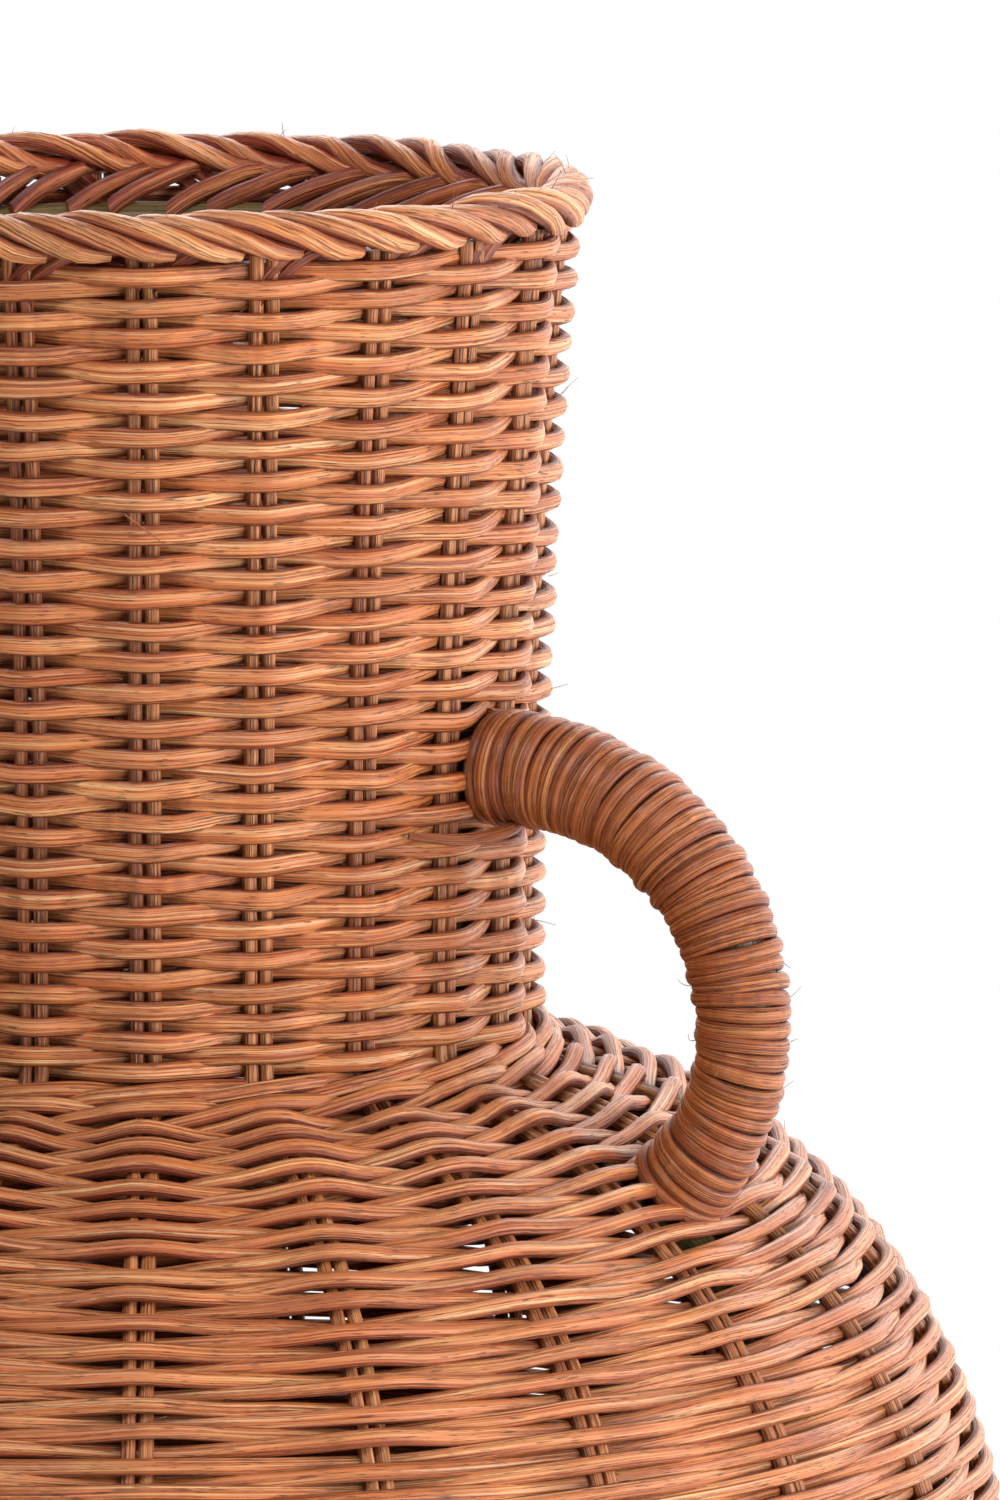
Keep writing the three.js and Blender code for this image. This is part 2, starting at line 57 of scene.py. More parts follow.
class Wire:
    """One output of a node. Sums, differences, products and quotients of wires add Math nodes."""

    def __init__(self, tree, socket=None):
        self.tree = tree
        self.socket = socket

    def node(self, kind, settings=None, inputs=None, output=0):
        """Adds any node: its settings first, then the values or links of its sockets."""
        made = self.tree.nodes.new(kind)
        for name, value in (settings or {}).items():
            if name == "stops":
                ramp = made.color_ramp
                while len(ramp.elements) < len(value):
                    ramp.elements.new(1.0)
                for stop, (place, paint) in zip(ramp.elements, value):
                    stop.position = place
                    stop.color = (*paint, 1.0)
            else:
                setattr(made, name, value)
        self.fill(made, inputs or {})
        return Wire(self.tree, self.pick(made.outputs, output))

    def fill(self, made, inputs):
        """Gives sockets of a node their values or links."""
        for name, value in inputs.items():
            socket = self.pick(made.inputs, name)
            if isinstance(value, Wire):
                self.tree.links.new(value.socket, socket)
            else:
                socket.default_value = value

    def pick(self, sockets, wanted):
        """A socket by its number, its name or its identifier, out of those in use."""
        if isinstance(wanted, int):
            return sockets[wanted]
        return next(s for s in sockets if wanted in (s.name, s.identifier) and s.enabled)

    def out(self, name):
        """Another output of the same node."""
        return Wire(self.tree, self.socket.node.outputs[name])

    def math(self, operation, *terms):
        return self.node("ShaderNodeMath", {"operation": operation}, dict(enumerate(terms)))

    def __add__(self, other):
        return self.math("ADD", self, other)

    def __radd__(self, other):
        return self.math("ADD", other, self)

    def __sub__(self, other):
        return self.math("SUBTRACT", self, other)

    def __rsub__(self, other):
        return self.math("SUBTRACT", other, self)

    def __mul__(self, other):
        return self.math("MULTIPLY", self, other)

    def __rmul__(self, other):
        return self.math("MULTIPLY", other, self)

    def __truediv__(self, other):
        return self.math("DIVIDE", self, other)

    def __rtruediv__(self, other):
        return self.math("DIVIDE", other, self)

    def vector(self, x, y, z):
        return self.node("ShaderNodeCombineXYZ", {}, {"X": x, "Y": y, "Z": z})

    def vectors(self, operation, *terms, output="Vector"):
        settings = {"operation": operation}
        return self.node("ShaderNodeVectorMath", settings, dict(enumerate(terms)), output)

    def scaled(self, by):
        """This vector times a value."""
        return self.node("ShaderNodeVectorMath", {"operation": "SCALE"}, {0: self, "Scale": by})

    def parts(self):
        """The X, Y and Z of this vector."""
        made = self.node("ShaderNodeSeparateXYZ", {}, {"Vector": self})
        return made.out("X"), made.out("Y"), made.out("Z")

    def kept_within(self, low, high):
        return self.math("MINIMUM", self.math("MAXIMUM", self, low), high)

    def between(self, low, high, start=0.0, finish=1.0):
        """Runs from start to finish while this value goes from low to high, and stays there."""
        ends = {"Value": self, "From Min": low, "From Max": high, "To Min": start, "To Max": finish}
        return self.node("ShaderNodeMapRange", {}, ends)

    def noise(self, detail):
        """A smooth random value from 0 to 1, which changes along with this value."""
        inputs = {"W": self, "Scale": 1.0, "Detail": detail}
        return self.node("ShaderNodeTexNoise", {"noise_dimensions": "1D"}, inputs)

    def uneven(self, speed, seed, share=1.0):
        """The same, but of about -share to share."""
        return ((self * speed + seed).noise(1.0) - 0.5) * (noise_gain * share)

    def read(self, name):
        """A value that the geometry carries under a name."""
        return self.node("GeometryNodeInputNamedAttribute", {"data_type": "FLOAT"}, {"Name": name})

    def stored(self, name, value, domain="POINT", kind="FLOAT"):
        """This geometry, carrying a value under a name."""
        settings = {"data_type": kind, "domain": domain}
        inputs = {"Geometry": self, "Name": name, "Value": value}
        return self.node("GeometryNodeStoreNamedAttribute", settings, inputs)

    def moved(self, **place):
        """This line, its points taken to a Position or by an Offset."""
        return self.node("GeometryNodeSetPosition", {}, {"Geometry": self, **place})

    def faced(self, outward, **which):
        """This line, with the side of its section that faces outwards."""
        inputs = {"Curve": self, "Normal": outward, **which}
        return self.node("GeometryNodeSetCurveNormal", {"mode": "FREE"}, inputs)


def new_tree(name, inputs):
    """A geometry tree with named inputs by kind. Gives its root wire, its inputs and its output node."""
    tree = bpy.data.node_groups.new(name, "GeometryNodeTree")
    tree.interface.new_socket("Lines", in_out="INPUT", socket_type="NodeSocketGeometry")
    for kind, names in {**inputs, "Material": ("Material",)}.items():
        for size in names:
            tree.interface.new_socket(size, in_out="INPUT", socket_type="NodeSocket" + kind)
    tree.interface.new_socket("Cane", in_out="OUTPUT", socket_type="NodeSocketGeometry")
    start = tree.nodes.new("NodeGroupInput")
    end = tree.nodes.new("NodeGroupOutput")
    given = {s.name: Wire(tree, s) for s in start.outputs if s.name}
    return Wire(tree), given, end


def skin(net, given, end, line, radius, bands, columns=1.0, flatness=1.0):
    """Gives a line its round or flattened body, with what the materials read and a map of bands.

    The line carries along, in metres, and run, whose whole numbers count the bands of the map."""
    round_section = {"Resolution": given["Sides"], "Radius": 1.0}
    ring = net.node("GeometryNodeCurvePrimitiveCircle", {}, round_section)
    spot_x, spot_y, _ = net.node("GeometryNodeInputPosition").parts()
    ring = ring.stored("round_x", spot_x)
    ring = ring.stored("round_y", spot_y)
    flattened = {"Geometry": ring, "Scale": net.vector(flatness, 1.0, 1.0)}
    ring = net.node("GeometryNodeTransform", {}, flattened)
    inputs = {"Curve": line, "Profile Curve": ring, "Scale": radius, "Fill Caps": True}
    body = net.node("GeometryNodeCurveToMesh", {}, inputs)

    def on_faces(value):
        settings = {"domain": "FACE", "data_type": "FLOAT"}
        return net.node("GeometryNodeFieldOnDomain", settings, {"Value": value})

    turn_x = net.read("round_x")
    turn_y = net.read("round_y")
    middle = net.math("ARCTAN2", on_faces(turn_y), on_faces(turn_x))
    middle = net.math("FLOORED_MODULO", middle, whole_turn)
    corner = net.math("ARCTAN2", turn_y, turn_x)
    apart = net.math("WRAP", corner - middle, math.pi, -math.pi)
    around = (middle + apart) / whole_turn
    run = net.read("run")
    band = net.math("MINIMUM", net.math("FLOOR", on_faces(run)), bands - 1.0)
    column = net.math("FLOORED_MODULO", band, columns)
    row = net.math("FLOOR", band / columns)
    rows = net.math("CEIL", bands / columns)
    margin = 0.06
    across = (column + (run - band) * (1 - 2 * margin) + margin) / columns
    upward = (row + around * (1 - 2 * margin) + margin) / rows
    place = net.vector(across, upward, 0.0)
    body = body.stored("OFBake", place, "CORNER", "FLOAT2")
    body = net.node("GeometryNodeSetShadeSmooth", {}, {"Geometry": body})
    body = net.node("GeometryNodeRealizeInstances", {}, {"Geometry": body})
    painted = {"Geometry": body, "Material": given["Material"]}
    net.fill(end, {0: net.node("GeometryNodeSetMaterial", {}, painted)})


def cane_tree():
    """Round canes along given lines, repeated round the vase, each a little uneven."""
    inputs = {
        "Int": ("Copies", "Sides", "Map bands", "Map columns", "Seed"),
        "Float": (
            "Turn between copies", "First turn", "Cane radius", "Sample length", "Wander",
            "Wander size", "Roll radius", "Roll level", "Roll unevenness",
        ),
        "Bool": ("Rolled",),
    }
    net, given, end = new_tree("canes along lines", inputs)
    smooth = {"spline_type": "CATMULL_ROM"}
    line = net.node("GeometryNodeCurveSplineType", smooth, {"Curve": given["Lines"]})
    by_length = {"Curve": line, "Length": given["Sample length"]}
    line = net.node("GeometryNodeResampleCurve", {"mode": "LENGTH"}, by_length)
    spots = net.node("GeometryNodePoints", {}, {"Count": given["Copies"]})
    index = net.node("GeometryNodeInputIndex")
    turn = given["First turn"] + index * given["Turn between copies"]
    turned = net.node("FunctionNodeEulerToRotation", {}, {"Euler": net.vector(0.0, 0.0, turn)})
    placed = {"Points": spots, "Instance": line, "Rotation": turned}
    line = net.node("GeometryNodeInstanceOnPoints", {}, placed)
    line = net.node("GeometryNodeRealizeInstances", {}, {"Geometry": line})

    limits = {"Min": 0.0, "Max": 1.0, "ID": index, "Seed": given["Seed"]}
    drawn = net.node("FunctionNodeRandomValue", {"data_type": "FLOAT"}, limits, "Value")
    line = line.stored("tone", drawn, "CURVE")
    line = line.stored("band", index, "CURVE")
    tone = net.read("tone")
    spot = net.node("GeometryNodeInputPosition")
    noise_between_canes = 40.0
    shift = net.vector(given["Seed"], tone * noise_between_canes, 0.0)
    place = net.vectors("ADD", spot.scaled(1.0 / given["Wander size"]), shift)
    noise = net.node("ShaderNodeTexNoise", {}, {"Vector": place, "Scale": 1.0}, "Color")
    centred = net.vectors("SUBTRACT", noise, (0.5, 0.5, 0.5))
    line = line.moved(Offset=centred.scaled(given["Wander"] * noise_gain))
    at_x, at_y, at_z = spot.parts()
    from_axis = net.vectors("LENGTH", net.vector(at_x, at_y, 0.0), output="Value")
    outside = 1.0 - given["Roll radius"] / from_axis
    outward = net.vector(at_x * outside, at_y * outside, at_z - given["Roll level"])
    line = line.faced(outward, Selection=given["Rolled"])
    proud = (tone - 0.5) * given["Roll unevenness"]
    line = line.moved(Offset=net.vectors("NORMALIZE", outward).scaled(proud))
    line = line.stored("packed", given["Rolled"])
    along = net.node("GeometryNodeSplineParameter")
    length_between_canes = 30.0
    line = line.stored("along", along.out("Length") + tone * length_between_canes)
    line = line.stored("run", net.read("band") + along)
    thick = net.node("GeometryNodeInputRadius") * given["Cane radius"]
    skin(net, given, end, line, thick, given["Map bands"], given["Map columns"])
    return net.tree


canes = cane_tree()


def new_object(name, data):
    made = bpy.data.objects.new(name, data)
    bpy.context.scene.collection.objects.link(made)
    return made


def line_object(name, lines, closed):
    """A curve object from lists of points (x, y, z) or (x, y, z, thickness)."""
    curve = bpy.data.curves.new(name, "CURVE")
    curve.dimensions = "3D"
    for points in lines:
        spline = curve.splines.new("POLY")
        spline.points.add(len(points) - 1)
        for knot, point in zip(spline.points, points):
            knot.co = (*point[:3], 1.0)
            knot.radius = point[3] if len(point) > 3 else 1.0
        spline.use_cyclic_u = closed
    return new_object(name, curve)


def grow(name, lines, tree, values, nodes=(), closed=False):
    """Runs a tree on lines of points, keeps its result as a plain mesh, and puts that in the frame."""
    drawn = line_object(name + " lines", lines, closed)
    modifier = drawn.modifiers.new("grown", "NODES")
    modifier.node_group = tree
    for item in tree.interface.items_tree:
        if item.in_out == "INPUT" and item.name in values:
            modifier[item.identifier] = values[item.name]
    bpy.context.view_layer.update()
    found = drawn.evaluated_get(bpy.context.evaluated_depsgraph_get())
    mesh = bpy.data.meshes.new_from_object(found)
    mesh.name = name
    drawn.modifiers.remove(modifier)
    bpy.data.objects.remove(drawn)
    piece = new_object(name, mesh)
    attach(piece, "root")
    if nodes:
        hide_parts(*nodes)


def grow_canes(name, lines, sizes, nodes=(), closed=False):
    """Grows canes along lines of points; sizes are those in which they differ from a plain cane."""
    plain = {"Copies": 1, "Sample length": 0.003, "Wander size": 0.03, "Sides": 8, "Map columns": 1}
    values = {**plain, **sizes}
    values["Map bands"] = values["Copies"] * len(lines)
    grow(name, lines, canes, values, nodes, closed)


def colour(code):
    """A colour written as in a paint chart, as the linear values that shaders take."""
    values = [int(code[i : i + 2], 16) / 255 for i in (1, 3, 5)]
    return tuple(v / 12.92 if v <= 0.04045 else ((v + 0.055) / 1.055) ** 2.4 for v in values)


def new_material(name):
    """A material, the root wire of its tree, and its shader."""
    material = bpy.data.materials.new(name)
    material.use_nodes = True
    tree = material.node_tree
    return material, Wire(tree), tree.nodes["Principled BSDF"]


def cane_material(name, codes, roughness, ridges, grooves, groove_width, mouth=None):
    """Peeled cane: long fibres, dark grooves and specks, and a tone that drifts along each strand.

    The codes are the colours of deep, middle and pale fibres and of the pits.
    Where strands lie packed side by side, painted shade darkens and reddens the flanks that touch
    and the side that faces inwards.
    Inside the mouth, given as a radius and a level, painted shade makes the cane redder and darker
    towards the bottom, and painted light makes it lighter near the top."""
    deep, body, pale, pits = (colour(code) for code in codes)
    material, net, shader = new_material(name)
    polish = {"Specular IOR Level": 0.45, "Specular Tint": (1.0, 0.95, 0.84, 1.0)}
    net.fill(shader, {**polish, "Coat Weight": 0.17, "Coat Roughness": 0.3})

    def attribute(wanted):
        return net.node("ShaderNodeAttribute", {"attribute_name": wanted}, {}, "Fac")

    along = attribute("along")
    tone = attribute("tone")
    turn_x = attribute("round_x")
    turn_y = attribute("round_y")
    packed = attribute("packed")

    def fibres(width, length, seed, detail=1.0):
        """Noise from 0 to 1, drawn out along the strand: its fineness across and along."""
        place = net.vector(turn_x * width + seed, turn_y * width, along * length)
        inputs = {"Vector": place, "Scale": 1.0, "Detail": detail, "Roughness": 0.6}
        return net.node("ShaderNodeTexNoise", {}, inputs)

    def drift(speed, seed):
        """A slow change from 0 to 1 along each strand, other on every strand."""
        noise_between_tones = 50.0
        return (along * speed + tone * noise_between_tones + seed).noise(2.0)

    broad = fibres(width=2.3, length=12.0, seed=0.0)
    lines = fibres(width=3.5, length=16.0, seed=3.0)
    fine = fibres(width=7.5, length=30.0, seed=7.0, detail=1.5)
    grain = broad * 0.28 + lines * 0.42 + fine * 0.3
    is_dash = fibres(width=8.0, length=420.0, seed=23.0).between(0.4, 0.58)
    unbroken = 0.45
    is_groove = fibres(width=groove_width, length=18.0, seed=13.0).between(0.54, 0.62)
    is_groove = is_groove * (unbroken + is_dash * (1.0 - unbroken))
    is_speck = fibres(width=6.0, length=200.0, seed=19.0).between(0.63, 0.69)
    ragged_edge = (fine - 0.5) * 0.25
    # Painted shade: packed strands are darker and redder on the flanks that touch and on their inner side.
    shaded_flank = (net.math("ABSOLUTE", turn_y) + ragged_edge).between(0.74, 1.0) * packed
    shaded_inner_side = turn_x.between(0.1, -0.7) * packed

    light = 0.56 + drift(speed=9.0, seed=0.0) * 0.6 + tone * 0.28
    yellow = (drift(speed=4.0, seed=31.0) - 0.5) * 0.7 + (tone - 0.5) * 0.3
    # Grooves are the cane's own dark lines; the flank and inner-side marks are painted shade.
    marks = [(is_groove, grooves, 0.2), (shaded_flank, 0.66, 0.95), (shaded_inner_side, 0.25, 0.3)]
    for mark, darker, redder in marks:
        light = light * (1.0 - mark * darker)
        yellow = yellow - mark * redder
    # Painted light and shade inside the mouth: lighter near the top, redder and darker towards the bottom.
    if mouth:
        mouth_radius, mouth_level = mouth
        edge = 0.002
        depth = 0.004
        spot_x, spot_y, spot_z = net.node("ShaderNodeTexCoord", {}, {}, "Object").parts()
        from_axis = net.vectors("LENGTH", net.vector(spot_x, spot_y, 0.0), output="Value")
        inside = from_axis.between(mouth_radius + edge, mouth_radius - edge)
        below = spot_z.between(mouth_level + depth, mouth_level - depth)
        light = light * (1.0 + inside * (0.28 - below * 0.52))
        yellow = yellow - inside * (0.3 + below * 0.3)
    green = 0.78 + light * 0.22 + yellow * 0.45
    blue = 0.64 + light * 0.34 + yellow * 0.4
    shade = net.vector(light, light * green, light * blue)
    stops = [(0.36, deep), (0.5, body), (0.64, pale)]
    painted = net.node("ShaderNodeValToRGB", {"stops": stops}, {"Fac": grain})
    toned = net.vectors("MULTIPLY", painted, shade)
    mixed = {"Factor_Float": is_speck * 0.7, "A_Color": toned, "B_Color": (*pits, 1.0)}
    final = net.node("ShaderNodeMix", {"data_type": "RGBA"}, mixed, "Result_Color")
    rough = roughness + (0.5 - grain) * 0.5 + is_speck * 0.2
    raised = (broad * 0.7 + lines * 0.5) * ridges + fine * 0.5
    height = raised - is_groove * grooves - is_speck * 0.3
    bump = net.node("ShaderNodeBump", {}, {"Height": height, "Strength": 0.8, "Distance": 0.0007})
    net.fill(shader, {"Base Color": final, "Roughness": rough, "Normal": bump})
    return material


stake_cane = cane_material(
    "stained stake cane",
    ("#6c2f10", "#a86133", "#bd8354", "#2b1006"),
    roughness=0.6, ridges=1.2, grooves=0.65, groove_width=4.0,
)

stick_count = 11
stick_names = [f"base_stick_{i + 1:02d}" for i in range(stick_count)]
stick_low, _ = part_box("base_stick_01")
stick_radius = 0.0016
stake_pairs = 21
pair_turn = whole_turn / stake_pairs
stick_level = stick_low.z + stick_radius
stick_reach = 0.086
stick_spacing = 0.0038
cross_half = 0.022
knee_share = 0.3
upper_lift = 0.0036
lower_ends = 6
upper_ends = 5
first_end = -3


def radial(turn, radius, level):
    """A point or a direction, by its turn round the vase's axis."""
    return Vector((radius * math.cos(turn), radius * math.sin(turn), level))


def stick_line(layer_turn, side, lift, start, finish):
    """One stick through the crossing, its two halves fanned out to the given directions."""
    layer = Matrix.Rotation(layer_turn, 4, "Z")
    near, middle, far = (
        layer @ Vector((x, side, stick_level + lift)) for x in (-cross_half, 0.0, cross_half)
    )

    def fanned(end, turn):
        """The knee where a half comes down to the floor of the base, and its tip."""
        tip = radial(turn, stick_reach, stick_level)
        knee = end.lerp(tip, knee_share)
        knee.z = stick_level
        return [knee, tip]

    points = [near, middle, far]
    if finish is not None:
        points = points + fanned(far, finish)
    if start is not None:
        points = fanned(near, start)[::-1] + points
    return [tuple(point) for point in points]


def end_turns(skipped, count):
    return [(first_end + skipped + i + 0.5) * pair_turn for i in range(count)]


lower_ahead = end_turns(0, lower_ends)
upper_ahead = end_turns(lower_ends, upper_ends)
lower_behind = end_turns(lower_ends + upper_ends, lower_ends - 1)[::-1]
upper_behind = end_turns(2 * lower_ends + upper_ends - 1, upper_ends)[::-1]
# Eleven sticks have 22 ends and there are 21 pairs, so one lower stick has only its front half fanned.
half_stick = lower_ends // 2
lower_behind.insert(half_stick, None)
stick_lines = []
for layer_turn, lift, behind, ahead in (
    (0.0, 0.0, lower_behind, lower_ahead),
    (math.pi / 2, upper_lift, upper_behind, upper_ahead),
):
    for i, (start, finish) in enumerate(zip(behind, ahead)):
        side = (i - (len(ahead) - 1) / 2) * stick_spacing
        stick_lines.append(stick_line(layer_turn, side, lift, start, finish))
stick_sizes = {"Cane radius": stick_radius, "Wander": 0.0002, "Seed": 3, "Material": stake_cane}
grow_canes("base_sticks", stick_lines, stick_sizes, stick_names)


# Base weave
# A flat disc of stained weaver, worked over and under the fanned sticks in two spirals.
# Its rows hold the sticks apart; the stakes are pushed in above it.


def counted_line(net, steps):
    """A line with one point more than its steps, whose points are then set in place by number."""
    straight = net.node("GeometryNodeCurvePrimitiveLine")
    many = {"Curve": straight, "Count": steps + 1.0}
    return net.node("GeometryNodeResampleCurve", {"mode": "COUNT"}, many)


def end_strand(net, given, end, line, packed, run, spread, radius, bands):
    """Ends the tree of one long flattened strand: what its material reads, then its body."""
    along = net.node("GeometryNodeSplineParameter", {}, {}, "Length")
    line = line.stored("packed", packed)
    line = line.stored("along", along + given["Seed"])
    line = line.stored("run", run)
    line = line.stored("tone", (0.5 + spread).kept_within(0.0, 1.0))
    skin(net, given, end, line, radius, bands, flatness=given["Flatness"])


def course_tree():
    """One long strand wound round the vase up a wall line, in front of one stake pair and behind the next."""
    inputs = {
        "Int": ("Stakes", "Steps per stake", "Sides"),
        "Float": (
            "Rows", "First length", "Row pitch", "First turn", "Phase", "Stakes per wave", "Slant", "Sag",
            "Weave depth", "Peak", "Outward shift", "Cane radius", "Flatness", "Packed", "Wander", "Seed",
        ),
    }
    net, given, end = new_tree("woven course", inputs)
    steps = given["Stakes"] * given["Steps per stake"]
    line = counted_line(net, steps * given["Rows"])
    turns = net.node("GeometryNodeInputIndex") / steps
    whole = given["First turn"] + turns
    seed = given["Seed"]
    early = turns.uneven(speed=13.0, seed=seed + 150.0, share=0.22)
    waves = (whole * given["Stakes"] - 0.5) / given["Stakes per wave"]
    phase = waves * whole_turn + given["Phase"] + early
    sine = net.math("SINE", phase)
    cosine = net.math("COSINE", phase)
    rising = turns.uneven(speed=5.0, seed=seed)
    shaky = turns.uneven(speed=23.0, seed=seed + 400.0, share=0.8)
    height = given["First length"] + turns * given["Row pitch"] + (rising + shaky) * given["Wander"]
    height = height + sine * given["Slant"] - cosine * given["Sag"]
    sampled = {"Curves": given["Lines"], "Length": height}
    wall = net.node("GeometryNodeSampleCurve", {"mode": "LENGTH"}, sampled, "Position")
    at_r, _, at_z = wall.parts()
    heading_r, _, heading_z = wall.out("Tangent").parts()
    peak = given["Peak"]
    wave = cosine * (1.0 - peak) + net.math("COSINE", phase * 3.0) * peak
    slack = 1.0 + turns.uneven(speed=31.0, seed=seed + 90.0, share=0.18)
    deep = wave * given["Weave depth"] * slack + given["Outward shift"]
    radius = at_r + heading_z * deep
    level = at_z - heading_r * deep
    angle = whole * whole_turn
    round_x = net.math("COSINE", angle)
    round_y = net.math("SINE", angle)
    line = line.moved(Position=net.vector(radius * round_x, radius * round_y, level))
    line = line.faced(net.vector(heading_z * round_x, heading_z * round_y, 0.0 - heading_r))
    spread = turns.uneven(speed=1.7, seed=seed + 250.0, share=0.5)
    swollen = turns.uneven(speed=2.3, seed=seed + 700.0, share=0.14)
    knotty = turns.uneven(speed=17.0, seed=seed + 810.0, share=0.1)
    thick = given["Cane radius"] * (1.0 + swollen + knotty)
    end_strand(net, given, end, line, given["Packed"], turns, spread, thick, given["Rows"])
    return net.tree


courses = course_tree()
weaver_cane = cane_material(
    "stained weaver cane",
    ("#762b06", "#ad6230", "#c0956b", "#371608"),
    roughness=0.52, ridges=1.0, grooves=0.3, groove_width=3.8,
)


def weave(name, wall, sizes, nodes=()):
    """Winds one strand up a wall line, in front of one stake and behind the next if sizes don't differ."""
    values = {"Stakes per wave": 2.0, "Sides": 8, "Material": weaver_cane, **sizes}
    grow(name, [wall], courses, values, nodes)


base_low, base_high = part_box("base_weave")
base_level = (base_low.z + base_high.z) / 2
base_spirals = 2
base_pitch = 0.0062
base_start = 0.026
base_margin = 0.01
base_ends = (base_start - base_margin, base_high.x + base_margin)
base_line = [(r, 0.0, base_level) for r in base_ends]
base_rows = {
    "Stakes": 2 * stick_count, "Steps per stake": 6, "Rows": 10.0, "Row pitch": base_pitch,
    "Weave depth": 0.0009, "Cane radius": 0.0016, "Flatness": 1.0, "Packed": 1.0, "Wander": 0.0002,
}
for number in range(base_spirals):
    run = {
        "First length": base_margin + number * base_pitch / base_spirals,
        "Phase": number * math.pi,
        "Seed": 11.0 + number,
    }
    weave(f"base_weave_spiral_{number + 1}", base_line, base_rows | run, ["base_weave"])


# Double stakes
# Twenty-one pairs of stained canes, pushed into the base, turned up at the foot and run to the rim.
# The weaver goes round each pair as if it were one stake.

belly_radius = 0.1715
belly_height = 0.159
foot_radius = 0.098
shoulder_radius = 0.112
fillet_radius = 0.012
waist_radius = 0.0756
neck_straight = 0.005
flare_radius = 1.65
tail_level = 0.012
neck_top = 0.439
line_step = 0.003


def arc_points(centre, radius, start, finish):
    """Points (r, z) along an arc, about a line step apart, without its first point."""
    count = max(2, round(abs(finish - start) * radius / line_step))
    turns = [start + (finish - start) * (i + 1) / count for i in range(count)]
    return [(centre[0] + radius * math.cos(t), centre[1] + radius * math.sin(t)) for t in turns]


lower_swell = belly_radius - foot_radius
lower_rise = belly_height - tail_level
lower_radius = (lower_rise**2 + lower_swell**2) / (2 * lower_swell)
lower_start = -math.asin(lower_rise / lower_radius)
lower_arc = arc_points((belly_radius - lower_radius, belly_height), lower_radius, lower_start, 0.0)

shoulder_centre = belly_radius - shoulder_radius
fillet_centre = waist_radius + fillet_radius
arcs_apart = shoulder_radius + fillet_radius
shoulder_end = math.acos((fillet_centre - shoulder_centre) / arcs_apart)
shoulder_arc = arc_points((shoulder_centre, belly_height), shoulder_radius, 0.0, shoulder_end)
fillet_level = belly_height + arcs_apart * math.sin(shoulder_end)
fillet_start = shoulder_end + math.pi
fillet_arc = arc_points((fillet_centre, fillet_level), fillet_radius, fillet_start, math.pi)
waist_level = fillet_level + neck_straight
flare_end = math.pi - math.asin((neck_top - waist_level) / flare_radius)
flare_arc = arc_points((waist_radius + flare_radius, waist_level), flare_radius, math.pi, flare_end)
wall_line = [(foot_radius, tail_level)] + lower_arc + shoulder_arc + fillet_arc + flare_arc
wall_points = [(r, 0.0, z) for r, z in wall_line]

pair_spacing = 0.00335
tail_length = 0.034
tail_bend = 0.006
stake_top = 0.4425
stake_line_top = wall_line[-1][0]
tail = [(foot_radius - tail_length, tail_level), (foot_radius - tail_bend, tail_level)]
stake_route = tail + wall_line[1:] + [(stake_line_top, stake_top)]
stake_lines = [[(r, side * pair_spacing / 2, z) for r, z in stake_route] for side in (-1, 1)]
stake_names = [f"stake_pair_{k + 1:02d}" for k in range(stake_pairs)]
round_the_vase = {"Copies": stake_pairs, "Turn between copies": pair_turn}
stake_sizes = round_the_vase | {
    "First turn": pair_turn / 2, "Cane radius": 0.00152, "Sample length": 0.005,
    "Wander": 0.00045, "Wander size": 0.035, "Seed": 5, "Material": stake_cane,
}
grow_canes("double_stakes", stake_lines, stake_sizes, stake_names)


# Foot border
# The ring the vase stands on: stained strands rolled round each other under the first row of the wall.
# The ends are tucked back into the roll.

rim_middle = 0.084
inner_rim_level = 0.4425
border_cane = cane_material(
    "stained border cane",
    ("#7c3914", "#ad6838", "#c29165", "#39170a"),
    roughness=0.48, ridges=0.9, grooves=0.4, groove_width=4.4,
    mouth=(rim_middle, inner_rim_level),
)


def ring_point(turn, radius, level, thickness=1.0):
    return (*radial(turn, radius, level), thickness)


_, foot_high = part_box("foot_border")
foot_strand = 0.0017
foot_inner = 0.0904
foot_middle = (foot_inner + foot_high.x) / 2
foot_half_width = (foot_high.x - foot_inner) / 2 - foot_strand
foot_level = foot_high.z / 2
foot_half_height = foot_level - foot_strand
foot_strands = 2
foot_knots = 14
foot_travel = 3.2
foot_roll_start = math.radians(230.0)
foot_roll = math.radians(400.0)
foot_lines = []
for strand in range(foot_strands):
    knots = []
    for i in range(foot_knots + 1):
        share = i / foot_knots
        roll = foot_roll_start - foot_roll * share
        turn = (strand / foot_strands + foot_travel * share) * pair_turn
        radius = foot_middle + foot_half_width * math.cos(roll)
        level = foot_level + foot_half_height * math.sin(roll)
        knots.append(ring_point(turn, radius, level))
    foot_lines.append(knots)
foot_sizes = round_the_vase | {
    "Cane radius": foot_strand, "Rolled": True, "Roll radius": foot_middle, "Roll level": foot_level,
    "Map columns": 3, "Seed": 21, "Material": border_cane,
}
grow_canes("foot_border_roll", foot_lines, foot_sizes, ["foot_border"])


# Woven wall
# Stained weaver worked in plain randing: in front of one pair of stakes, behind the next, round and round.
# With an odd number of pairs each row falls the other way from the one below. It is made in courses.


def length_at(points, count):
    """How far along the wall line a number of its points reaches."""
    pairs = zip(points[:count], points[1 : count + 1])
    return sum(math.dist(a, b) for a, b in pairs)


row_inputs = (
    "Row pitch", "Cane radius", "Flatness", "Weave depth", "Sag", "Peak", "Wander", "Packed",
    "Steps per stake",
)


def rows_like(*values):
    """How a stretch of the wall is woven: the values of the inputs named above, in that order."""
    return {"Stakes": stake_pairs, "Outward shift": 0.0004, **dict(zip(row_inputs, values))}


